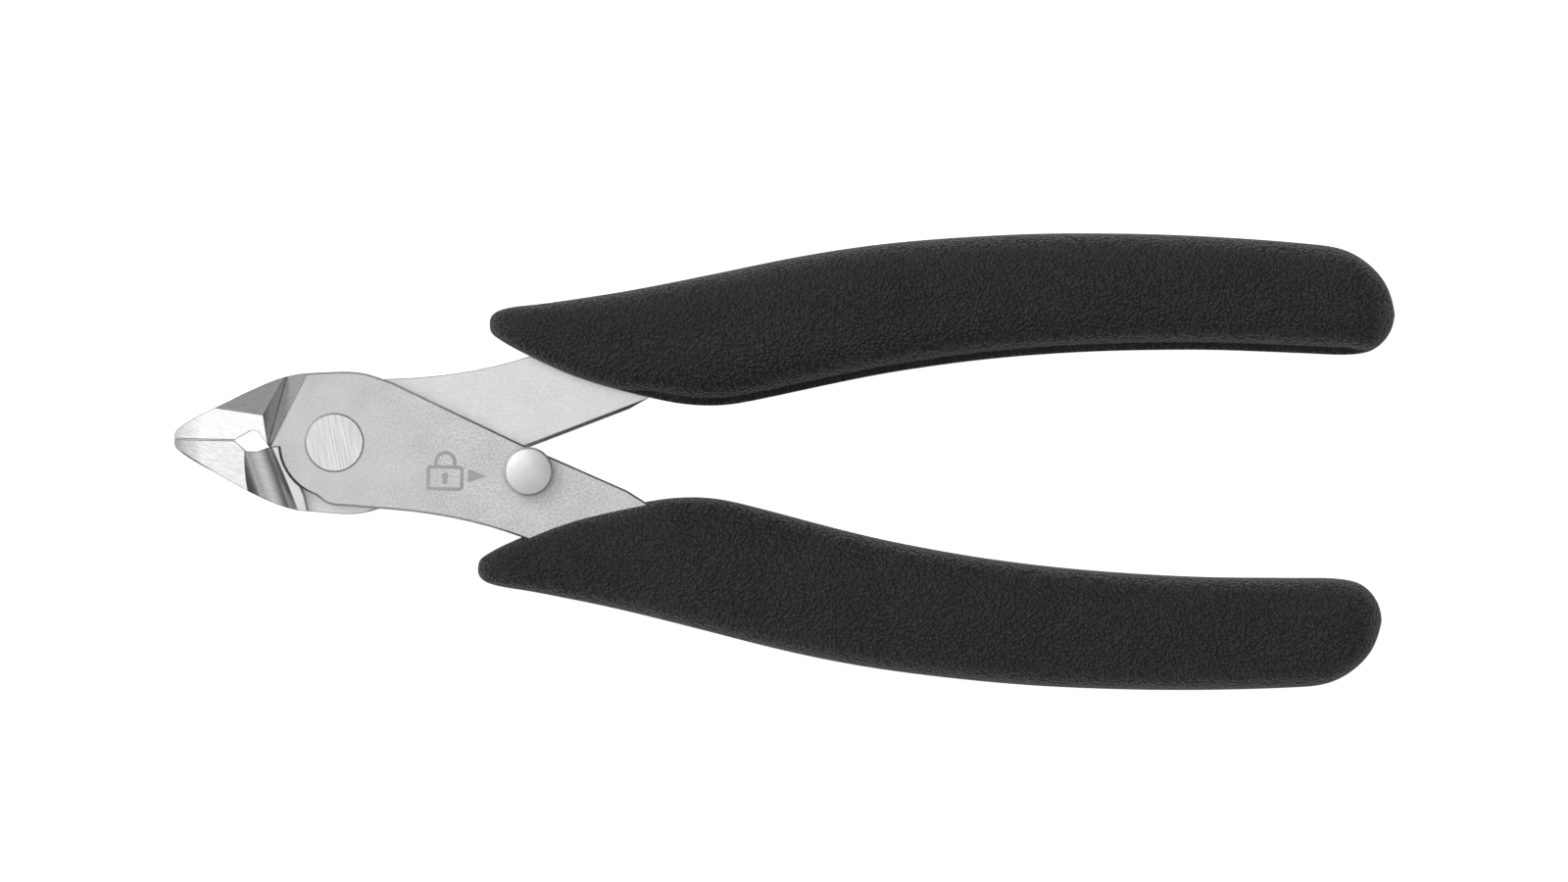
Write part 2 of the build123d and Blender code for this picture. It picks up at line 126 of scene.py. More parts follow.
def skin(name, rings, looped=False, smooth=True):
    """Closed mesh object from an array of rings, shaped (rings, points around, 3), in metres.

    Face (i, j) joins points j and j+1 of ring i to those of ring i+1, counted round. An open stack
    is closed at each end by a fan to the mean point of its end ring.
    """
    count, around = rings.shape[:2]
    index = np.arange(count * around).reshape(count, around)
    following = np.roll(index, -1, axis=0) if looped else index[1:]
    current = index if looped else index[:-1]
    quads = np.stack(
        [current, np.roll(current, -1, axis=1), np.roll(following, -1, axis=1), following], axis=-1
    ).reshape(-1, 4)
    points = rings.reshape(-1, 3)
    fans = np.empty((0, 3), int)
    if not looped:
        points = np.vstack([points, rings[0].mean(axis=0), rings[-1].mean(axis=0)])
        first, last = index[0], index[-1]
        low = np.full(around, count * around)
        fans = np.vstack(
            [
                np.stack([np.roll(first, -1), first, low], axis=-1),
                np.stack([last, np.roll(last, -1), low + 1], axis=-1),
            ]
        )
    triangles = np.vstack([quads[:, [0, 1, 2]], quads[:, [0, 2, 3]], fans])
    a, b, c = (points[triangles[:, k]] for k in range(3))
    if np.einsum("ij,ij->", a, np.cross(b, c)) < 0:  # a negative volume means inside out
        quads, fans = quads[:, ::-1], fans[:, ::-1]
    mesh = bpy.data.meshes.new(name)
    mesh.from_pydata(points.tolist(), [], quads.tolist() + fans.tolist())
    mesh.polygons.foreach_set("use_smooth", np.full(len(mesh.polygons), smooth))
    mesh.update()
    piece = bpy.data.objects.new(name, mesh)
    bpy.context.scene.collection.objects.link(piece)
    size = np.round(np.ptp(points, axis=0) / MM, 2)
    print(name, "has", len(mesh.polygons), "faces and spans", size, "mm")
    return piece


# %% [markdown]
# ## The grips
# Each grip is moulded over a steel tang. Seen from above, its outline runs from a narrow nose, past
# a guard for the finger, to a round heel. Across, it is a rounded, slightly crowned bar. A mould has
# two halves, and one stands out past the other along the finger side as a thin lip.
#
# A box with subdivision would be quick, but its outline would drift. Here a smooth curve is put
# through a few outline points on each side, and rings span from the finger side to the palm side, so
# the outline is exact and the rings close neatly at both ends.

# %% Curve through points
FINE_STEPS = 4000


def smooth_curve(points, samples):
    """Points on a natural cubic spline through the given points, evenly spaced along it.

    Between two points, the curve is the straight mix of their places plus, for each of the two, its
    bend times (share cubed less share) times the span squared over six. The bends come from one
    linear system that makes the slope run on through every point.
    """
    points = np.asarray(points, float)
    knots = np.concatenate([[0], np.cumsum(np.linalg.norm(np.diff(points, axis=0), axis=1))])
    span = np.diff(knots)
    slope = np.diff(points, axis=0) / span[:, None]
    system = np.diag(np.concatenate([[1], 2 * (span[:-1] + span[1:]), [1]]))
    system += np.diag(np.concatenate([span[:-1], [0]]), -1)
    system += np.diag(np.concatenate([[0], span[1:]]), 1)
    bends = np.linalg.solve(system, np.pad(6 * np.diff(slope, axis=0), ((1, 1), (0, 0))))

    def curve(along):
        i = np.clip(np.searchsorted(knots, along, side="right") - 1, 0, len(span) - 1)
        share = ((along - knots[i]) / span[i])[:, None]
        rest, square = 1 - share, (span[i] ** 2)[:, None] / 6
        mix = rest * points[i] + share * points[i + 1]
        return mix + ((rest**3 - rest) * bends[i] + (share**3 - share) * bends[i + 1]) * square

    fine = curve(np.linspace(0, knots[-1], FINE_STEPS))
    length = np.concatenate([[0], np.cumsum(np.linalg.norm(np.diff(fine, axis=0), axis=1))])
    wanted = np.asarray(samples) * length[-1]
    return np.stack([np.interp(wanted, length, fine[:, k]) for k in range(fine.shape[1])], axis=-1)


# %% Outline of a grip, in millimetres from the rivet's axis
PALM_SIDE = [
    (15.55, 12.45), (15.62, 13.15), (16.05, 13.72), (17.0, 14.16), (20.0, 14.66), (24.0, 15.29),
    (28.0, 16.0), (32.0, 16.81), (36.0, 17.7), (40.0, 18.62), (45.0, 19.78), (50.0, 20.8),
    (55.0, 21.63), (60.0, 22.25), (66.0, 22.8), (72.0, 23.19), (78.0, 23.37), (84.0, 23.4),
    (90.0, 23.28), (96.0, 23.02), (100.0, 22.76), (103.0, 22.3), (105.0, 21.35), (106.3, 20.3),
    (107.4, 18.95), (108.1, 17.4), (108.5, 15.75),
]
FINGER_SIDE = [
    (15.55, 12.45), (15.7, 11.78), (16.4, 11.12), (18.0, 10.2), (20.0, 9.25), (24.0, 7.56),
    (28.0, 6.37), (31.5, 5.55), (34.5, 4.97), (37.3, 4.72), (40.0, 4.83), (43.0, 5.38),
    (46.5, 6.2), (51.0, 7.28), (56.0, 8.39), (61.0, 9.3), (66.0, 10.06), (72.0, 10.75),
    (78.0, 11.23), (84.0, 11.52), (90.0, 11.66), (96.0, 11.6), (101.0, 11.5), (104.5, 11.57),
    (106.2, 12.0), (107.4, 12.95), (108.2, 14.3), (108.5, 15.75),
]
HALF_THICKNESS = 5.3
RINGS = 300
AROUND = 176  # points in a ring
END_CROWDING = 0.75  # 0 spaces the rings evenly, 1 crowds them most at the ends

even = np.linspace(0, 1, RINGS)
shares = (1 - END_CROWDING) * even + END_CROWDING * (1 - np.cos(np.pi * even)) / 2
palm = smooth_curve(PALM_SIDE, shares)
finger = smooth_curve(FINGER_SIDE, shares)
print("grip is", round(palm[:, 0].max() - palm[:, 0].min(), 2), "mm long and up to",
      round((palm - finger)[:, 1].max(), 2), "mm wide")

# %% Sections across a grip
SQUARENESS = 3.1
LIP = 0.68  # how far the lip stands out
LIP_HEIGHT = 1.4  # above the plane where the halves lap
LIP_SOFTNESS = 0.05
LIP_FADE = 1.5  # power that keeps the set-back near the finger side
LIP_BEGINS = (28.5, 34.0)
LIP_ENDS = (103.5, 107.0)
GROOVE_DEPTH = 0.14
GROOVE_WIDTH = 0.3
GROOVE_RISE = 0.12  # groove's middle above the lip's edge
SIDE_CROWDING = 0.14  # draws a ring's points toward the sides, where the lip is
NOSE_THICKNESS = 0.6  # share of the full thickness
NOSE_RUN = 26.0
END_ROUND = 4.2


def ramp(value, start, end):
    """Smooth step: 0 before start, 1 after end, and 3s² - 2s³ of the share s between them."""
    share = np.clip((value - start) / (end - start), 0, 1)
    return share * share * (3 - 2 * share)


def grip_rings():
    """Rings of one grip.

    Around a ring, the angle's cosine and sine are raised to the power 2/squareness, which squares a
    circle. Across, the cosine runs from the finger side to the palm side; the sine gives the height.
    Above the lip's height, the finger side is set back by the lip, and a groove runs along the lip.
    """
    angle = np.linspace(0, 2 * np.pi, AROUND, endpoint=False)
    angle = angle - SIDE_CROWDING * np.sin(2 * angle)
    cosine, sine = np.cos(angle), np.sin(angle)
    across = np.sign(cosine) * np.abs(cosine) ** (2 / SQUARENESS)
    rise = np.sign(sine) * np.abs(sine) ** (2 / SQUARENESS)
    x = (palm + finger)[:, 0] / 2
    from_nose = np.minimum(x - palm[0, 0], NOSE_RUN) / NOSE_RUN
    thickness = NOSE_THICKNESS + (1 - NOSE_THICKNESS) * np.sin(from_nose * np.pi / 2)
    to_end = np.minimum(x - palm[0, 0], palm[-1, 0] - x) / END_ROUND
    rounding = np.sqrt(1 - (1 - np.clip(to_end, 0, 1)) ** 2)
    height = HALF_THICKNESS * thickness * rounding
    z = rise * height[:, None]
    lip_share = (ramp(x, *LIP_BEGINS) * (1 - ramp(x, *LIP_ENDS)))[:, None]
    above = 0.5 + 0.5 * np.tanh((z - LIP_HEIGHT) / LIP_SOFTNESS)
    groove = np.exp(-(((z - LIP_HEIGHT - GROOVE_RISE) / GROOVE_WIDTH) ** 2))
    finger_share = ((1 - across) / 2)[None, :]
    inward = finger_share**LIP_FADE * LIP * lip_share * above
    inward += (finger_share > 0.5) * groove * GROOVE_DEPTH * lip_share
    middle = (palm + finger)[:, None, :2] / 2
    half = (palm - finger)[:, None, :2] / 2
    flat = middle + half * across[None, :, None]
    toward_palm = half / np.maximum(np.linalg.norm(half, axis=-1, keepdims=True), 1e-6)
    flat = flat + toward_palm * inward[..., None]
    return np.concatenate([flat, z[..., None]], axis=-1)


LOWER_SHIFT = 0.6  # the lower grip sits this much nearer the jaws
upper_rings = grip_rings()
lower_rings = upper_rings * [1, -1, -1] - [LOWER_SHIFT, 0, 0]
grip_upper = skin("grip_upper_skin", at_pivot(upper_rings)[1:-1])
grip_lower = skin("grip_lower_skin", at_pivot(lower_rings)[1:-1])

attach(grip_upper, "rear_half")
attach(grip_lower, "front_half")
for grip, node in ((grip_upper, "grip_upper"), (grip_lower, "grip_lower")):
    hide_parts(node)

# %% [markdown]
# ## The two springs
# A wire torsion spring around the rivet opens the handles, and a small coil under the button lifts
# it. Each is a round wire carried along a path: at every point of the path stands a ring, square to
# the way the path runs. The torsion spring lies between the halves, with each leg in its own slot.
# The button's spring is squashed, as it is when the button goes down.

# %% Wire along a path


def wire(name, path, radius, around):
    """Tube along a path in millimetres: centre plus radius times (cosine × side + sine × up).

    The side is square to the path and to the vertical, and up is square to both.
    """
    along = np.gradient(path, axis=0)
    along /= np.linalg.norm(along, axis=1, keepdims=True)
    side = np.cross(along, [0, 0, 1])
    side /= np.linalg.norm(side, axis=1, keepdims=True)
    up = np.cross(side, along)
    angle = np.linspace(0, 2 * np.pi, around, endpoint=False)[None, :, None]
    rings = path[:, None] + radius * (np.cos(angle) * side[:, None] + np.sin(angle) * up[:, None])
    return skin(name, at_pivot(rings))


def coil(radius, low, high, start, turns, samples):
    """Helix: radius times the cosine and sine of an even turn, while the height climbs evenly."""
    share = np.linspace(0, 1, samples)
    angle = np.radians(start) + 2 * np.pi * turns * share
    height = low + (high - low) * share
    return np.stack([radius * np.cos(angle), radius * np.sin(angle), height], axis=-1)


# %% Torsion spring between the halves
COIL_RADIUS = 4.1
COIL_REACH = 0.495  # above and below the plane where the halves lap
LEG_LEAN = 10.0  # degrees
LEG_LENGTH = 7.4
LEG_START = 0.3
WIRE_RADIUS = 0.3

turns = 1.5 - LEG_LEAN / 180  # one and a half, less the lean of both legs
body = coil(COIL_RADIUS, -COIL_REACH, COIL_REACH, 90 + LEG_LEAN, turns, samples=160)
lean = np.radians(LEG_LEAN)
steps = np.linspace(LEG_LENGTH, LEG_START, 24)[:, None]
low_leg = body[0] + steps * [np.cos(lean), np.sin(lean), 0]
high_leg = body[-1] + steps[::-1] * [np.cos(lean), -np.sin(lean), 0]
path = smooth_curve(np.vstack([low_leg, body, high_leg]), np.linspace(0, 1, 320))
torsion_spring = wire("return_spring_wire", path, WIRE_RADIUS, around=14)
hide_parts("return_spring")
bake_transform(torsion_spring)

# %% Coil under the button
button_low, button_high = (np.array(corner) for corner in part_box("lock_button"))
seat_low, seat_high = (np.array(corner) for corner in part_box("lock_spring"))
BUTTON_COIL_RADIUS = 1.4
BUTTON_COIL_TURNS = 3.0
THIN_WIRE = 0.1  # radius

low = (seat_low[2] - pivot_z) / MM + THIN_WIRE
high = (seat_high[2] - pivot_z) / MM - THIN_WIRE
centre = ((button_low + button_high) / 2 - pivot) / MM * [1, 1, 0]
path = coil(BUTTON_COIL_RADIUS, low, high, 0, BUTTON_COIL_TURNS, samples=150) + centre
button_spring = wire("lock_spring_wire", path, THIN_WIRE, around=10)
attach(button_spring, "front_half")
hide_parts("lock_spring")
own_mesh(button_spring)

# %% [markdown]
# ## The marks
# A padlock and a small arrowhead are etched beside the button, to say that pushing it locks the tool.
# Etching is only a few hundredths of a millimetre deep and dark, so each mark is a thin closed stamp
# just above the plate, which leaves the plate's own mesh alone. A line mark is a flat strip along a
# path. A filled mark is a short prism.

# %% Stamps
STAMP_LOW = 0.004  # bottom and top of a stamp above the plate
STAMP_HIGH = 0.016
plate_top = (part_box("front_plate")[1][2] - pivot_z) / MM
print("plate's shown face is", round(plate_top, 2), "mm above the lap")


def strip(name, path, width, looped):
    """Flat strip: at each point of a path, four corners half the width to each side, low and high."""
    path = np.asarray(path, float)
    if looped:
        along = np.roll(path, -1, axis=0) - np.roll(path, 1, axis=0)
    else:
        along = np.gradient(path, axis=0)
    along /= np.linalg.norm(along, axis=1, keepdims=True)
    side = np.stack([-along[:, 1], along[:, 0]], axis=-1) * width / 2
    across = np.array([-1, 1, 1, -1])[None, :, None]
    level = plate_top + np.array([STAMP_LOW, STAMP_LOW, STAMP_HIGH, STAMP_HIGH])
    flat = path[:, None] + side[:, None] * across
    z = np.broadcast_to(level[None, :, None], flat.shape[:2] + (1,))
    return skin(name, at_pivot(np.concatenate([flat, z], axis=-1)), looped=looped, smooth=False)


def prism(name, outline):
    """Short prism: the outline low and the same outline high, each closed to its middle."""
    outline = np.asarray(outline, float)
    levels = plate_top + np.array([STAMP_LOW, STAMP_HIGH])
    rings = [np.column_stack([outline, np.full(len(outline), level)]) for level in levels]
    return skin(name, at_pivot(np.stack(rings)), smooth=False)


def round_box(width, height, corner):
    """Rounded rectangle: half the sides times the cosine and the sine, each to the power corner."""
    angle = np.linspace(0, 2 * np.pi, 48, endpoint=False)
    turn = np.stack([np.cos(angle), np.sin(angle)], axis=-1)
    return np.sign(turn) * np.abs(turn) ** corner * [width / 2, height / 2]


# %% Padlock and arrowhead
PADLOCK = np.array([11.42, -3.35])
LOCK_WIDTH, LOCK_HEIGHT, LOCK_CORNER = 3.45, 2.25, 0.16
SHACKLE_RADIUS, SHACKLE_LEG = 0.95, 0.35
LINE = 0.36
ARROW = np.array([14.7, -3.05])

arch = np.radians(np.linspace(180, 0, 25))
bow = SHACKLE_RADIUS * np.stack([np.cos(arch), np.sin(arch)], axis=-1)
shackle = np.vstack([[-SHACKLE_RADIUS, -SHACKLE_LEG], bow, [SHACKLE_RADIUS, -SHACKLE_LEG]])
shackle += [0, LOCK_HEIGHT / 2 + LINE / 2 + SHACKLE_LEG]
keyhole = np.array([
    [0.2, -0.12], [0.28, -0.6], [-0.28, -0.6], [-0.2, -0.12], [-0.38, 0.14],
    [-0.27, 0.44], [0, 0.55], [0.27, 0.44], [0.38, 0.14],
])
arrowhead = np.array([[0.97, 0.0], [-0.93, 0.68], [-0.93, -0.68]])
marks = [
    strip("mark_lock_body", PADLOCK + round_box(LOCK_WIDTH, LOCK_HEIGHT, LOCK_CORNER), LINE, looped=True),
    strip("mark_lock_shackle", PADLOCK + shackle, LINE, looped=False),
    prism("mark_lock_keyhole", PADLOCK + keyhole),
    prism("mark_arrow", ARROW + arrowhead),
]
for mark in marks:
    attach(mark, "front_half")

# %% [markdown]
# ## Shared effects for the materials
# Steel and rubber both need small irregular detail. An effect that several materials use is made
# once, as a node group with named inputs, and placed in each material with its own values. Groups
# give only colours and numbers that change over the surface; the shader stays in the material.

# %% Helpers for node trees


def add_node(tree, kind, **settings):
    """A new node, with its properties and its unlinked inputs set by name."""
    node = tree.nodes.new(kind)
    for key, value in settings.items():
        if hasattr(node, key) and key not in node.inputs:
            setattr(node, key, value)
        else:
            node.inputs[key].default_value = value
    return node


def calculate(tree, operation, *values):
    """Math node; each value is a number or an output socket."""
    node = add_node(tree, "ShaderNodeMath", operation=operation)
    for slot, value in zip(node.inputs, values):
        if isinstance(value, (int, float)):
            slot.default_value = value
        else:
            tree.links.new(value, slot)
    return node.outputs[0]


def spread(tree, value, low, high, to_low, to_high):
    """The value carried from one range to another and held inside it."""
    node = add_node(tree, "ShaderNodeMapRange")
    tree.links.new(value, node.inputs["Value"])
    for key, number in (("From Min", low), ("From Max", high), ("To Min", to_low), ("To Max", to_high)):
        node.inputs[key].default_value = number
    return node.outputs[0]


def spread_noise(tree, noise, to_low, to_high):
    """The middle part of a noise, where most of its values lie, carried to another range."""
    return spread(tree, noise, 0.3, 0.7, to_low, to_high)


def new_group(name, inputs, outputs):
    """Empty node group with number inputs (name, value) and number outputs."""
    group = bpy.data.node_groups.new(name, "ShaderNodeTree")
    for socket, value in inputs:
        made = group.interface.new_socket(socket, in_out="INPUT", socket_type="NodeSocketFloat")
        made.default_value = value
    for socket in outputs:
        group.interface.new_socket(socket, in_out="OUTPUT", socket_type="NodeSocketFloat")
    entry = group.nodes.new("NodeGroupInput")
    leave = group.nodes.new("NodeGroupOutput")
    return group, entry.outputs, leave.inputs


def place_group(tree, group, **values):
    """The group as a node of a material, with its inputs set."""
    node = tree.nodes.new("ShaderNodeGroup")
    node.node_tree = group
    for key, value in values.items():
        node.inputs[key.replace("_", " ")].default_value = value
    return node


# %% Speckle: fine uneven sparkle of a blasted or tumbled surface
speckle, taken, given = new_group(
    "speckle", [("Grain per metre", 3500.0), ("Cloud per metre", 180.0)], ["Grain", "Cloud"]
)
where = add_node(speckle, "ShaderNodeTexCoord").outputs["Object"]
for socket, scale, detail in (("Grain", "Grain per metre", 3.0), ("Cloud", "Cloud per metre", 4.0)):
    noise = add_node(speckle, "ShaderNodeTexNoise", Detail=detail, Roughness=0.6)
    speckle.links.new(where, noise.inputs["Vector"])
    speckle.links.new(taken[scale], noise.inputs["Scale"])
    speckle.links.new(noise.outputs["Fac"], given[socket])

# %% Brush lines: noise stretched along one direction
brush_lines, taken, given = new_group(
    "brush_lines", [("Lines per metre", 6000.0), ("Stretch", 0.04), ("Angle", 0.0)], ["Lines"]
)
where = add_node(brush_lines, "ShaderNodeTexCoord").outputs["Object"]
turn = add_node(brush_lines, "ShaderNodeVectorRotate", rotation_type="Z_AXIS")
brush_lines.links.new(where, turn.inputs["Vector"])
brush_lines.links.new(taken["Angle"], turn.inputs["Angle"])
parts = add_node(brush_lines, "ShaderNodeSeparateXYZ")
brush_lines.links.new(turn.outputs[0], parts.inputs[0])
stretched = calculate(brush_lines, "MULTIPLY", parts.outputs[0], taken["Stretch"])
joined = add_node(brush_lines, "ShaderNodeCombineXYZ")
for slot, socket in enumerate((stretched, parts.outputs[1], parts.outputs[2])):
    brush_lines.links.new(socket, joined.inputs[slot])
noise = add_node(brush_lines, "ShaderNodeTexNoise", Detail=3.0, Roughness=0.65)
brush_lines.links.new(joined.outputs[0], noise.inputs["Vector"])
brush_lines.links.new(taken["Lines per metre"], noise.inputs["Scale"])
brush_lines.links.new(noise.outputs["Fac"], given["Lines"])

# %% Painted edge shade: a mask of a thin line along every sharp edge
ALIKE, UNLIKE = 0.995, 0.86  # cosines between the face's normal and the rounded one

painted_edge_shade, taken, given = new_group("painted_edge_shade", [("Width", 0.00012)], ["Edge"])
rounded = add_node(painted_edge_shade, "ShaderNodeBevel", samples=6)
painted_edge_shade.links.new(taken["Width"], rounded.inputs["Radius"])
flat = add_node(painted_edge_shade, "ShaderNodeNewGeometry")
alike = add_node(painted_edge_shade, "ShaderNodeVectorMath", operation="DOT_PRODUCT")
painted_edge_shade.links.new(rounded.outputs[0], alike.inputs[0])
painted_edge_shade.links.new(flat.outputs["Normal"], alike.inputs[1])
painted_edge_shade.links.new(spread(painted_edge_shade, alike.outputs["Value"], ALIKE, UNLIKE, 0.0, 1.0), given["Edge"])

# %% [markdown]
# ## Steel
# The plates are satin: fine speckle, a soft grey and a wide reflection. The jaws are ground after
# forging, so they are smoother and show fine lines. Both finishes are on one forging, so one material
# holds both and tells them apart by place and slope. Metal takes most of its look from what it
# reflects, so small changes of grey, of roughness and of bump are enough. The rear half is the paler
# and smoother of the two, so each half gets the same material with its own values.

# %% Start a material


def start_material(name, **shader):
    """New material with its Principled shader, whose plain sockets are set by name."""
    material = bpy.data.materials.new(name)
    material.use_nodes = True
    tree = material.node_tree
    principled = tree.nodes["Principled BSDF"]
    for key, value in shader.items():
        principled.inputs[key.replace("_", " ")].default_value = value
    return material, tree, principled


def shade(tree, factor, dark, light):
    """Colour between two greys by a 0 to 1 factor."""
    mix = add_node(tree, "ShaderNodeMix", data_type="RGBA")
    tree.links.new(factor, mix.inputs[0])
    mix.inputs[6].default_value = (*dark, 1)
    mix.inputs[7].default_value = (*light, 1)
    return mix.outputs[2]


def blend_colours(tree, factor, first, second):
    """First colour where the factor is 0 and second where it is 1."""
    mix = add_node(tree, "ShaderNodeMix", data_type="RGBA")
    for slot, socket in ((0, factor), (6, first), (7, second)):
        tree.links.new(socket, mix.inputs[slot])
    return mix.outputs[2]


def tint(tree, factor, surface, colour):
    """The surface's colour where the factor is 0 and the plain colour where it is 1."""
    mix = add_node(tree, "ShaderNodeMix", data_type="RGBA")
    tree.links.new(factor, mix.inputs[0])
    tree.links.new(surface, mix.inputs[6])
    mix.inputs[7].default_value = (*colour, 1)
    return mix.outputs[2]


def bump(tree, height, distance):
    """Normal bent by a 0 to 1 height that stands a distance in metres."""
    node = add_node(tree, "ShaderNodeBump", Strength=1.0, Distance=distance)
    tree.links.new(height, node.inputs["Height"])
    return node.outputs["Normal"]


# %% Where each finish of a plate lies
GROUND_END = pivot_x - 2.6 * MM  # the ground jaws reach back to here
LEVEL = 0.995  # upright share of a normal, above which a face counts as level


def plate_zones(tree):
    """Place along and across the plate, how upright its faces are, and a mask of the ground faces.

    A face is ground where it leans and lies ahead of the rivet. Everything else is satin.
    """
    place = add_node(tree, "ShaderNodeTexCoord")
    parts = add_node(tree, "ShaderNodeSeparateXYZ")
    slope = add_node(tree, "ShaderNodeSeparateXYZ")
    tree.links.new(place.outputs["Object"], parts.inputs[0])
    tree.links.new(place.outputs["Normal"], slope.inputs[0])
    upright = calculate(tree, "ABSOLUTE", slope.outputs[2])
    ahead = calculate(tree, "LESS_THAN", parts.outputs[0], GROUND_END)
    leaning = calculate(tree, "LESS_THAN", upright, LEVEL)
    ground = calculate(tree, "MULTIPLY", ahead, leaning)
    return parts.outputs[0], parts.outputs[1], upright, ground


# %% Satin faces
HEAD_TO_TANG = (pivot_x + 2 * MM, pivot_x + 14 * MM)
HEAD_GRAIN = 0.35  # share of the tang's grain left on the head, which is ground flat after riveting
CLOUD_TONE = 0.9


def satin_look(tree, along, grains, graininess, dark, light):
    """Colour and grain: the tone is the grain times graininess plus a slow cloud."""
    toward_tang = spread(tree, along, *HEAD_TO_TANG, HEAD_GRAIN, 1.0)
    centred = calculate(tree, "SUBTRACT", grains.outputs["Grain"], 0.5)
    grain = calculate(tree, "MULTIPLY", centred, toward_tang)
    cloud = calculate(tree, "MULTIPLY", grains.outputs["Cloud"], CLOUD_TONE)
    tone = calculate(tree, "ADD", calculate(tree, "MULTIPLY", grain, graininess), cloud)
    return shade(tree, tone, dark, light), grain


# %% Ground faces
TIP_SHADE_ZONE = (pivot_x - 16.6 * MM, pivot_x - 13.5 * MM)  # the shade of the tips fades out over this
TIP_LIFT = 0.75
STREAK_TONE = 0.3
STEEP = (0.95, 0.45)  # upright share of a normal, from gentle to steep
STEEP_SHADE = 1.1


def ground_look(tree, along, upright, lines, dark, light):
    """Colour: the tone rises away from the tips and with the streaks, and falls on steep faces. The
    darkening at the tips and on steep faces is painted shade.
    """
    # Painted shade: the ground faces darken toward the tips, for the shading of their rounded ends.
    away_from_tip = spread(tree, along, *TIP_SHADE_ZONE, 0.0, TIP_LIFT)
    streak = calculate(tree, "MULTIPLY", spread_noise(tree, lines, 0.0, 1.0), STREAK_TONE)
    tone = calculate(tree, "ADD", away_from_tip, streak)
    # Painted shade: steep faces, such as the flutes, are darkened, for the dim light they reflect.
    tone = calculate(tree, "SUBTRACT", tone, spread(tree, upright, *STEEP, 0.0, STEEP_SHADE))
    return shade(tree, tone, dark, light)


# %% Painted shade lines on a plate
EDGE_SHADE_WIDTH = 0.24 * MM
EDGE_SHADE_GREY = (0.09, 0.09, 0.09)
CUT_END = pivot_x - 8.7 * MM  # the cutting edges end here, at the relief hole
CUT_HALF = 0.09 * MM
CUT_SHADE_GREY = (0.03, 0.03, 0.03)


def painted_shade_lines(tree, along, sideways, surface):
    """The surface's colour with painted shade: darker at sharp edges, and a dark hair line painted where
    the cutting edges meet.
    """
    edges = place_group(tree, painted_edge_shade, Width=EDGE_SHADE_WIDTH)
    # Painted shade: the steel is darkened along its sharp edges, as dark outlines.
    surface = tint(tree, edges.outputs["Edge"], surface, EDGE_SHADE_GREY)
    # Painted shade: a dark hair line along the cutting edges, for the shade in the slit where they meet.
    off_middle = calculate(tree, "ABSOLUTE", calculate(tree, "SUBTRACT", sideways, pivot_y))
    near_middle = calculate(tree, "LESS_THAN", off_middle, CUT_HALF)
    painted_gap_shade = calculate(tree, "MULTIPLY", near_middle, calculate(tree, "LESS_THAN", along, CUT_END))
    return tint(tree, painted_gap_shade, surface, CUT_SHADE_GREY)


# %% Satin plates with ground jaws
STEEL_GRAIN, STEEL_CLOUD = 4200.0, 260.0  # per metre
GROUND_ROUGH = (0.17, 0.26)
SATIN_SPREAD = (-0.03, 0.05)
LINE_HEIGHT = 0.5
STEEL_BUMP = 0.012 * MM


def plate_material(name, dark, light, rough, graininess, ground_streak_and_shade_grey, polish):
    """Satin greys from dark to light, and ground greys from a dark grey to polish, each with its gloss. The
    dark ground grey is reached in the streaks and, as painted shade, at the tips and on steep faces.
    """
    material, tree, principled = start_material(name, Metallic=1.0)
    along, sideways, upright, ground = plate_zones(tree)
    satin = calculate(tree, "SUBTRACT", 1.0, ground)
    grains = place_group(tree, speckle, Grain_per_metre=STEEL_GRAIN, Cloud_per_metre=STEEL_CLOUD)
    brushed = place_group(tree, brush_lines, Lines_per_metre=7000.0, Stretch=0.06, Angle=0.25)
    lines = brushed.outputs["Lines"]

    satin_colour, grain = satin_look(tree, along, grains, graininess, dark, light)
    ground_colour = ground_look(tree, along, upright, lines, ground_streak_and_shade_grey, polish)
    surface = blend_colours(tree, ground, satin_colour, ground_colour)
    tree.links.new(painted_shade_lines(tree, along, sideways, surface), principled.inputs["Base Color"])

    worn = spread_noise(tree, grains.outputs["Cloud"], rough + SATIN_SPREAD[0], rough + SATIN_SPREAD[1])
    fine = spread_noise(tree, lines, *GROUND_ROUGH)
    roughness = calculate(tree, "ADD", calculate(tree, "MULTIPLY", worn, satin),
                          calculate(tree, "MULTIPLY", fine, ground))
    tree.links.new(roughness, principled.inputs["Roughness"])

    scored = calculate(tree, "MULTIPLY", calculate(tree, "MULTIPLY", lines, ground), LINE_HEIGHT)
    height = calculate(tree, "ADD", calculate(tree, "MULTIPLY", grain, satin), scored)
    tree.links.new(bump(tree, height, STEEL_BUMP), principled.inputs["Normal"])
    return material


front_steel = plate_material(
    "front_satin_steel", dark=(0.58, 0.58, 0.58), light=(0.83, 0.83, 0.825), rough=0.4, graininess=3.6,
    ground_streak_and_shade_grey=(0.5, 0.5, 0.495), polish=(0.94, 0.94, 0.935),
)
rear_steel = plate_material(
    "rear_satin_steel", dark=(0.76, 0.76, 0.76), light=(0.98, 0.98, 0.975), rough=0.34, graininess=1.8,
    ground_streak_and_shade_grey=(0.24, 0.24, 0.235), polish=(0.85, 0.85, 0.845),
)

# %% [markdown]
# ## Rivet, button, springs and marks
# The rivet's flared end is ground flush after it is set, which leaves coarse scratches one way. The
# button and its pin are tumbled, so they are dull with slow clouds. The springs are drawn wire, dark
# and a little glossy. The marks are etched, so they are rough and grey. Each is a short material that
# reuses the shared effects, since on pieces this small the finish is seen more than any detail.

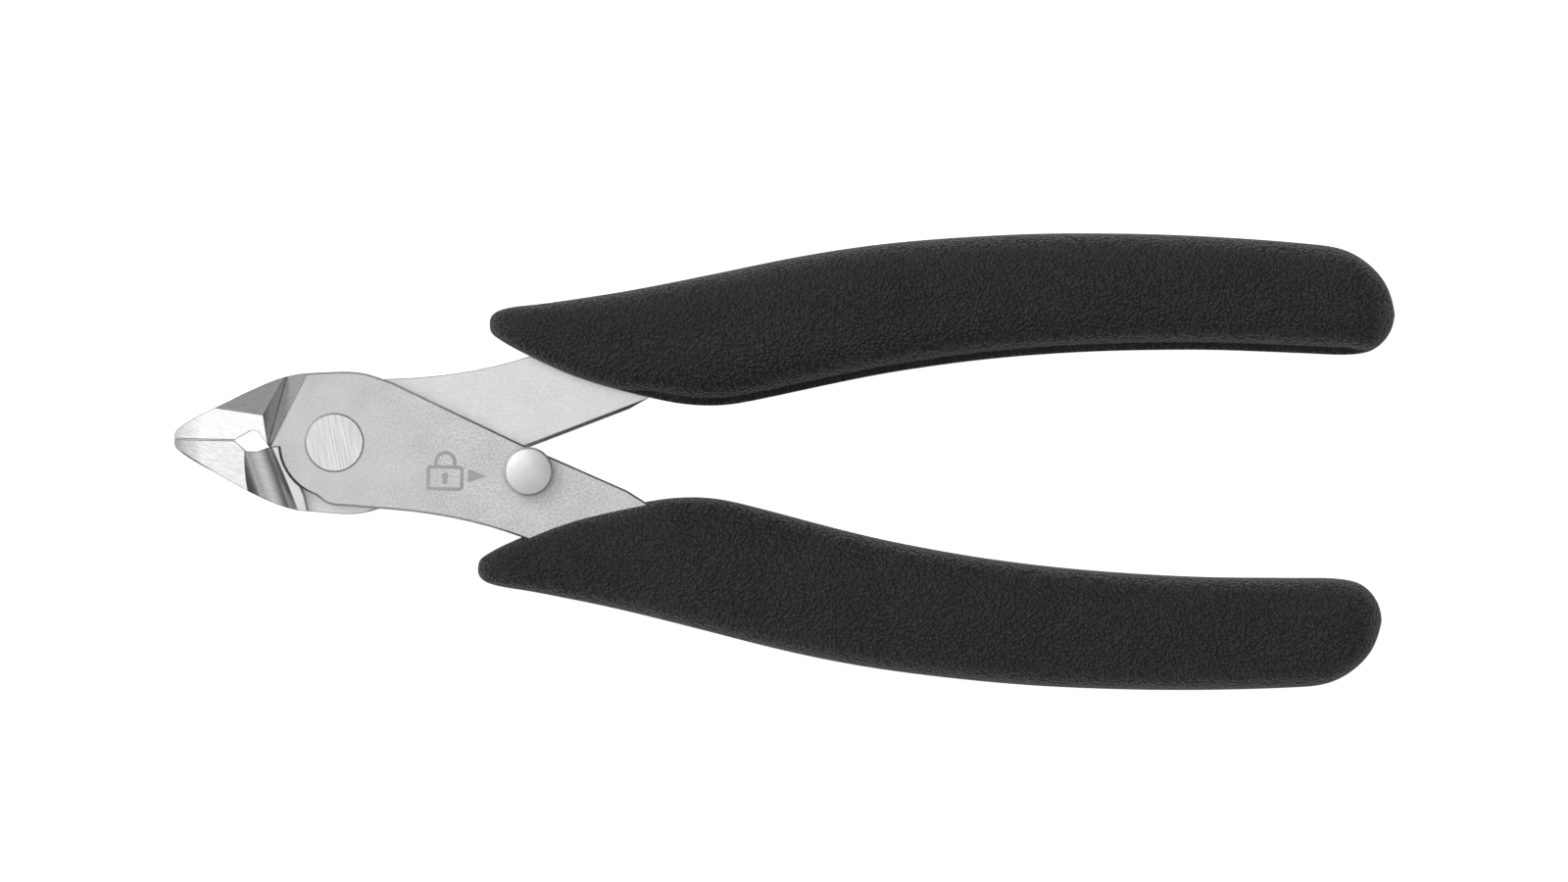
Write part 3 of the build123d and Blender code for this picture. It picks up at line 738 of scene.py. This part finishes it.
# %% Rivet
rivet_steel, tree, principled = start_material("rivet_steel", Metallic=1.0)
across_tool = float(np.radians(78))
scratches = place_group(tree, brush_lines, Lines_per_metre=5200.0, Stretch=0.05, Angle=across_tool)
sharp = spread(tree, scratches.outputs["Lines"], 0.36, 0.64, 0.0, 1.0)
tree.links.new(shade(tree, sharp, (0.76, 0.76, 0.755), (0.98, 0.98, 0.97)), principled.inputs["Base Color"])
tree.links.new(spread(tree, sharp, 0, 1, 0.38, 0.26), principled.inputs["Roughness"])
tree.links.new(bump(tree, sharp, 0.01 * MM), principled.inputs["Normal"])

# %% Button, pin and springs
button_steel, tree, principled = start_material("button_steel", Metallic=1.0)
grains = place_group(tree, speckle, Grain_per_metre=2600.0, Cloud_per_metre=420.0)
tree.links.new(shade(tree, grains.outputs["Cloud"], (0.72, 0.72, 0.72), (0.92, 0.92, 0.915)),
               principled.inputs["Base Color"])
tree.links.new(spread_noise(tree, grains.outputs["Grain"], 0.48, 0.6), principled.inputs["Roughness"])
tree.links.new(bump(tree, grains.outputs["Grain"], 0.008 * MM), principled.inputs["Normal"])

spring_steel, tree, principled = start_material("spring_steel", Metallic=1.0)
grains = place_group(tree, speckle, Grain_per_metre=3000.0, Cloud_per_metre=500.0)
tree.links.new(shade(tree, grains.outputs["Cloud"], (0.34, 0.34, 0.35), (0.6, 0.6, 0.6)),
               principled.inputs["Base Color"])
tree.links.new(spread_noise(tree, grains.outputs["Grain"], 0.22, 0.4), principled.inputs["Roughness"])

# %% Etched marks
etched, tree, principled = start_material("etched_grey", Metallic=0.8)
grains = place_group(tree, speckle, Grain_per_metre=STEEL_GRAIN, Cloud_per_metre=STEEL_CLOUD)
tree.links.new(shade(tree, grains.outputs["Grain"], (0.36, 0.36, 0.36), (0.62, 0.62, 0.62)),
               principled.inputs["Base Color"])
tree.links.new(spread_noise(tree, grains.outputs["Cloud"], 0.5, 0.7), principled.inputs["Roughness"])

# %% [markdown]
# ## Grip rubber
# The black rubber has the pebbled grain of the mould: small rounded bumps about a third of a
# millimetre apart, with narrow valleys. A Voronoi pattern, warped a little so that no cell is
# straight, gives the pebbles. A little sheen gives the paler rim that matt rubber shows where it
# turns away from the eye.

# %% Pebbled rubber
PEBBLES_PER_METRE = 3000.0
WARP_REACH = 0.1 * MM
CREST, VALLEY = 0.1, 0.75  # distance from a cell's middle, where a pebble is highest and lowest
PEBBLE_BUMP = 0.2 * MM
FINE_SHARE = 0.35  # height of the fine grain on the pebbles
PEBBLE_SHADE = 0.6  # the rest of the tone is a slow cloud

rubber, tree, principled = start_material(
    "grip_rubber", Specular_IOR_Level=0.45, Sheen_Weight=0.22, Sheen_Roughness=0.35,
    Sheen_Tint=(1, 1, 1, 1),
)
place = add_node(tree, "ShaderNodeTexCoord").outputs["Object"]
warp = add_node(tree, "ShaderNodeTexNoise", Scale=900.0, Detail=2.0)
tree.links.new(place, warp.inputs["Vector"])
shift = add_node(tree, "ShaderNodeVectorMath", operation="MULTIPLY_ADD")
tree.links.new(warp.outputs["Color"], shift.inputs[0])
shift.inputs[1].default_value = (WARP_REACH, WARP_REACH, WARP_REACH)
tree.links.new(place, shift.inputs[2])
cells = add_node(
    tree, "ShaderNodeTexVoronoi", feature="SMOOTH_F1", Scale=PEBBLES_PER_METRE, Smoothness=0.35
)
tree.links.new(shift.outputs[0], cells.inputs["Vector"])
grains = place_group(tree, speckle, Grain_per_metre=5200.0, Cloud_per_metre=120.0)
pebble = spread(tree, cells.outputs["Distance"], CREST, VALLEY, 1.0, 0.0)
height = calculate(tree, "ADD", pebble, calculate(tree, "MULTIPLY", grains.outputs["Grain"], FINE_SHARE))
cloud = calculate(tree, "MULTIPLY", grains.outputs["Cloud"], 1 - PEBBLE_SHADE)
# Painted shade: the rubber is darker in the valleys between pebbles and lighter on their crests.
tone = calculate(tree, "ADD", calculate(tree, "MULTIPLY", pebble, PEBBLE_SHADE), cloud)
colour = shade(tree, tone, (0.002, 0.002, 0.0021), (0.043, 0.043, 0.0435))
tree.links.new(colour, principled.inputs["Base Color"])
tree.links.new(spread(tree, pebble, 0, 1, 0.64, 0.5), principled.inputs["Roughness"])
tree.links.new(bump(tree, height, PEBBLE_BUMP), principled.inputs["Normal"])

# %% Give each piece its material


def finish_piece(piece, material):
    """Puts one material in every slot of a piece."""
    if not piece.data.materials:
        piece.data.materials.append(material)
    for slot in piece.material_slots:
        slot.material = material


nodes = frame["nodes"]
for piece, material in (
    (nodes["front_plate"], front_steel),
    (nodes["rear_plate"], rear_steel),
    (nodes["pivot_rivet"], rivet_steel),
    (nodes["lock_button"], button_steel),
    (nodes["lock_pin"], button_steel),
    (torsion_spring, spring_steel),
    (button_spring, spring_steel),
    (grip_upper, rubber),
    (grip_lower, rubber),
    *((mark, etched) for mark in marks),
):
    finish_piece(piece, material)
print(len(bpy.data.materials), "materials")

# %% [markdown]
# ## Floor and light
# The tool lies on a white light table, which glows to the eye and so keeps the tool's shadow faint,
# but lights the steel little. From below, the table is clear, so that the underside of the tool can
# be seen as well. The sky is brightest above and to the left, and dim near the horizon. Slopes of the
# jaws reflect the dim part and look grey, while the flat and gently tapered faces reflect the bright
# part.

# %% Light table
FLOOR_HALF = 3.0  # metres
FLOOR_DROP = 0.2 * MM  # below the tool, so that no faces coincide
GLOW_AROUND, GLOW_SEEN = 0.1, 0.85

corners = [(-1, -1), (1, -1), (1, 1), (-1, 1)]
floor_mesh = bpy.data.meshes.new("studio_floor")
floor_mesh.from_pydata(
    [(x * FLOOR_HALF, y * FLOOR_HALF, -FLOOR_DROP) for x, y in corners], [], [(0, 1, 2, 3)]
)
floor = bpy.data.objects.new("studio_floor", floor_mesh)
bpy.context.scene.collection.objects.link(floor)
floor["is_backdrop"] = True
white, tree, principled = start_material(
    "floor_white", Base_Color=(0.8, 0.8, 0.8, 1), Roughness=0.8, Specular_IOR_Level=0.1,
    Emission_Color=(1, 1, 1, 1),
)
seen = add_node(tree, "ShaderNodeLightPath").outputs["Is Camera Ray"]
glow = spread(tree, seen, 0, 1, GLOW_AROUND, GLOW_SEEN)
tree.links.new(glow, principled.inputs["Emission Strength"])
below = add_node(tree, "ShaderNodeNewGeometry").outputs["Backfacing"]
tree.links.new(calculate(tree, "SUBTRACT", 1.0, below), principled.inputs["Alpha"])
finish_piece(floor, white)

# %% Sky
SKY_TOWARD = (-0.38, 0.12, 0.92)  # the sky is brightest in this direction
SKY_LEVELS = [(0.0, 0.1), (0.45, 0.16), (0.72, 0.4), (0.88, 0.72), (1.0, 1.0)]  # cosine to it, grey

world = bpy.data.worlds.new("studio_sky")
bpy.context.scene.world = world
world.use_nodes = True
tree = world.node_tree
tree.nodes.clear()
direction = add_node(tree, "ShaderNodeTexCoord").outputs["Generated"]
lean = add_node(tree, "ShaderNodeVectorMath", operation="DOT_PRODUCT")
tree.links.new(direction, lean.inputs[0])
lean.inputs[1].default_value = SKY_TOWARD
sky = add_node(tree, "ShaderNodeValToRGB")
for position, level in SKY_LEVELS[1:-1]:
    sky.color_ramp.elements.new(position)
for element, (position, level) in zip(sky.color_ramp.elements, SKY_LEVELS):
    element.position = position
    element.color = (level, level, level, 1)
tree.links.new(lean.outputs["Value"], sky.inputs[0])
background = add_node(tree, "ShaderNodeBackground", Strength=1.0)
tree.links.new(sky.outputs[0], background.inputs["Color"])
output = add_node(tree, "ShaderNodeOutputWorld")
tree.links.new(background.outputs[0], output.inputs["Surface"])

# %% Softboxes
AIM = (0, 0, 0.005)  # the middle of the tool


def softbox(name, place, size, power):
    """Square light that faces the tool, turned by its bearing and tipped by its angle from upright."""
    data = bpy.data.lights.new(name, "AREA")
    data.size = size
    data.energy = power
    light = bpy.data.objects.new(name, data)
    light.location = place
    toward = np.array(AIM) - place
    yaw = np.arctan2(toward[1], toward[0])
    pitch = np.arccos(-toward[2] / np.linalg.norm(toward))
    light.rotation_euler = (0, -pitch, yaw)
    bpy.context.scene.collection.objects.link(light)
    print(name, "gives", power, "W from", place)


softbox("key_softbox", (-0.55, 0.42, 0.8), size=0.45, power=3.5)
softbox("fill_softbox", (0.7, -0.5, 0.9), size=0.8, power=0.8)
bpy.context.scene.view_settings.view_transform = "Standard"

# %% [markdown]
# ## Sizes and finish
# The looks must not change the tool's size, so the box of the finished model is measured.

# %% Measure the sizes
low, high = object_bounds()
